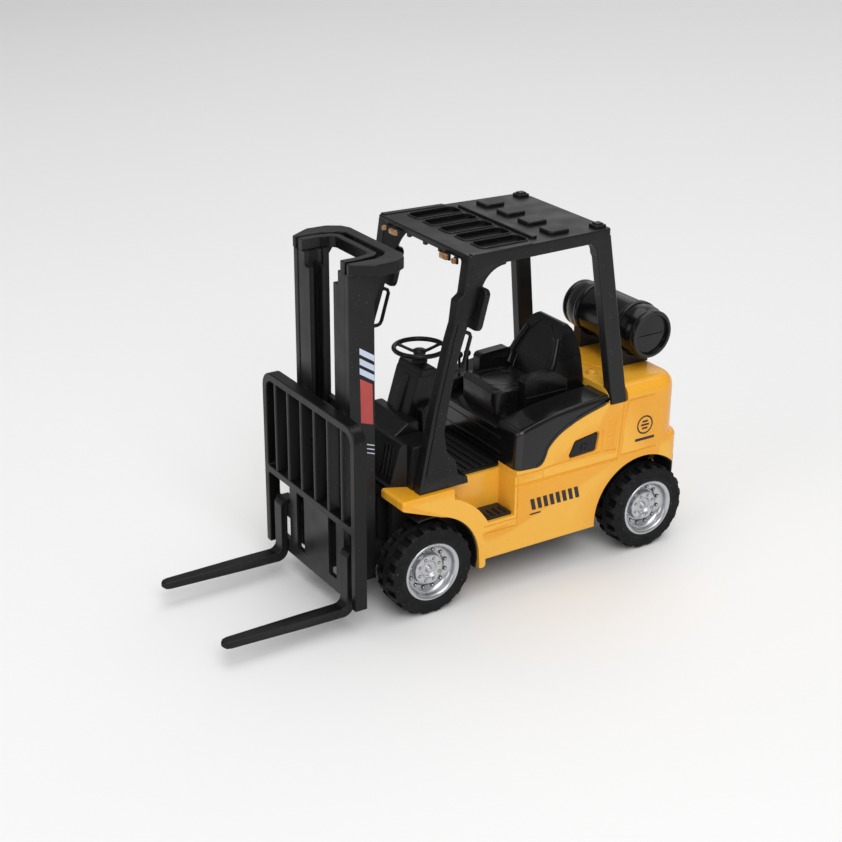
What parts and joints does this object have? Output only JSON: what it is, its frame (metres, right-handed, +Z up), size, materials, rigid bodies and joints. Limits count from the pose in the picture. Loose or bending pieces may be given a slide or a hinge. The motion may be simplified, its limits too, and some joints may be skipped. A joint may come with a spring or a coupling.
{
  "type": "toy forklift",
  "caption": "Counterbalance forklift truck toy with an overhead guard, a two-stage lifting mast, hooked forks, a seat, a gas tank and rolling wheels.",
  "frame": {"origin": "centre of the footprint of the whole object on the ground", "axes": "+X forwards along the forks, +Y to the driver's left, +Z up"},
  "size_m": [0.1609, 0.0548, 0.109],
  "materials": {
    "yellow_paint": "gloss",
    "black_plastic": "satin",
    "gloss_black": "gloss",
    "seat_black": "satin",
    "tyre_rubber": "matte",
    "silver_rim": "satin metallic",
    "steel": "satin",
    "amber_lens": "gloss"
  },
  "bodies": {
    "truck": {"body_shell": "yellow_paint", "chassis_base": "black_plastic", "cab_floor_mat": "black_plastic", "seat_deck": "gloss_black", "seat": "seat_black", "dash_cowl": "black_plastic", "direction_lever": "black_plastic", "control_levers": "black_plastic", "overhead_guard": "black_plastic", "roof_lamp_housings": "black_plastic", "roof_lamp_lenses": "amber_lens", "mirror_left": "black_plastic", "mirror_right": "black_plastic", "grab_handle_left": "black_plastic", "grab_handle_right": "black_plastic", "gas_tank": "gloss_black", "gas_tank_straps": "gloss_black", "gas_tank_cradle": "black_plastic", "step_tread_left": "black_plastic", "step_tread_right": "black_plastic", "side_inset_left": "black_plastic", "side_inset_right": "black_plastic", "base_screws": "steel", "mast_pivot_pin": "steel"},
    "front_wheels": {"front_axle": "steel", "front_rim_left": "silver_rim", "front_rim_right": "silver_rim", "front_tyre_left": "tyre_rubber", "front_tyre_right": "tyre_rubber"},
    "rear_wheels": {"rear_axle": "steel", "rear_rim_left": "silver_rim", "rear_rim_right": "silver_rim", "rear_tyre_left": "tyre_rubber", "rear_tyre_right": "tyre_rubber"},
    "steering": {"steering_shaft": "black_plastic", "steering_wheel": "black_plastic"},
    "mast": {"mast_outer": "black_plastic"},
    "lift_mast": {"mast_inner": "black_plastic"},
    "load_carriage": {"carriage": "black_plastic"},
    "left_fork": {"fork_left": "black_plastic"},
    "right_fork": {"fork_right": "black_plastic"}
  },
  "joints": [
    {"name": "front_wheels_roll", "type": "hinge", "parent": "truck", "child": "front_wheels", "pos_m": [0.01445, 0, 0.014], "axis": [0, 1, 0], "continuous": true},
    {"name": "rear_wheels_roll", "type": "hinge", "parent": "truck", "child": "rear_wheels", "pos_m": [-0.06655, 0, 0.014], "axis": [0, 1, 0], "continuous": true},
    {"name": "steering_turn", "type": "hinge", "parent": "truck", "child": "steering", "pos_m": [0.00245, 0, 0.0733], "axis": [0, 0, 1], "continuous": true},
    {"name": "mast_tilt", "type": "hinge", "parent": "truck", "child": "mast", "pos_m": [0.02285, 0, 0.017], "axis": [0, 1, 0], "range_deg": [-4, 4]},
    {"name": "mast_lift", "type": "slide", "parent": "mast", "child": "lift_mast", "axis": [0, 0, 1], "range_m": [0, 0.045]},
    {"name": "carriage_lift", "type": "slide", "parent": "lift_mast", "child": "load_carriage", "axis": [0, 0, 1], "range_m": [0, 0.06]},
    {"name": "left_fork_slide", "type": "slide", "parent": "load_carriage", "child": "left_fork", "axis": [0, 1, 0], "range_m": [-0.0014, 0.0024]},
    {"name": "right_fork_slide", "type": "slide", "parent": "load_carriage", "child": "right_fork", "axis": [0, -1, 0], "range_m": [-0.0014, 0.0024]}
  ]
}
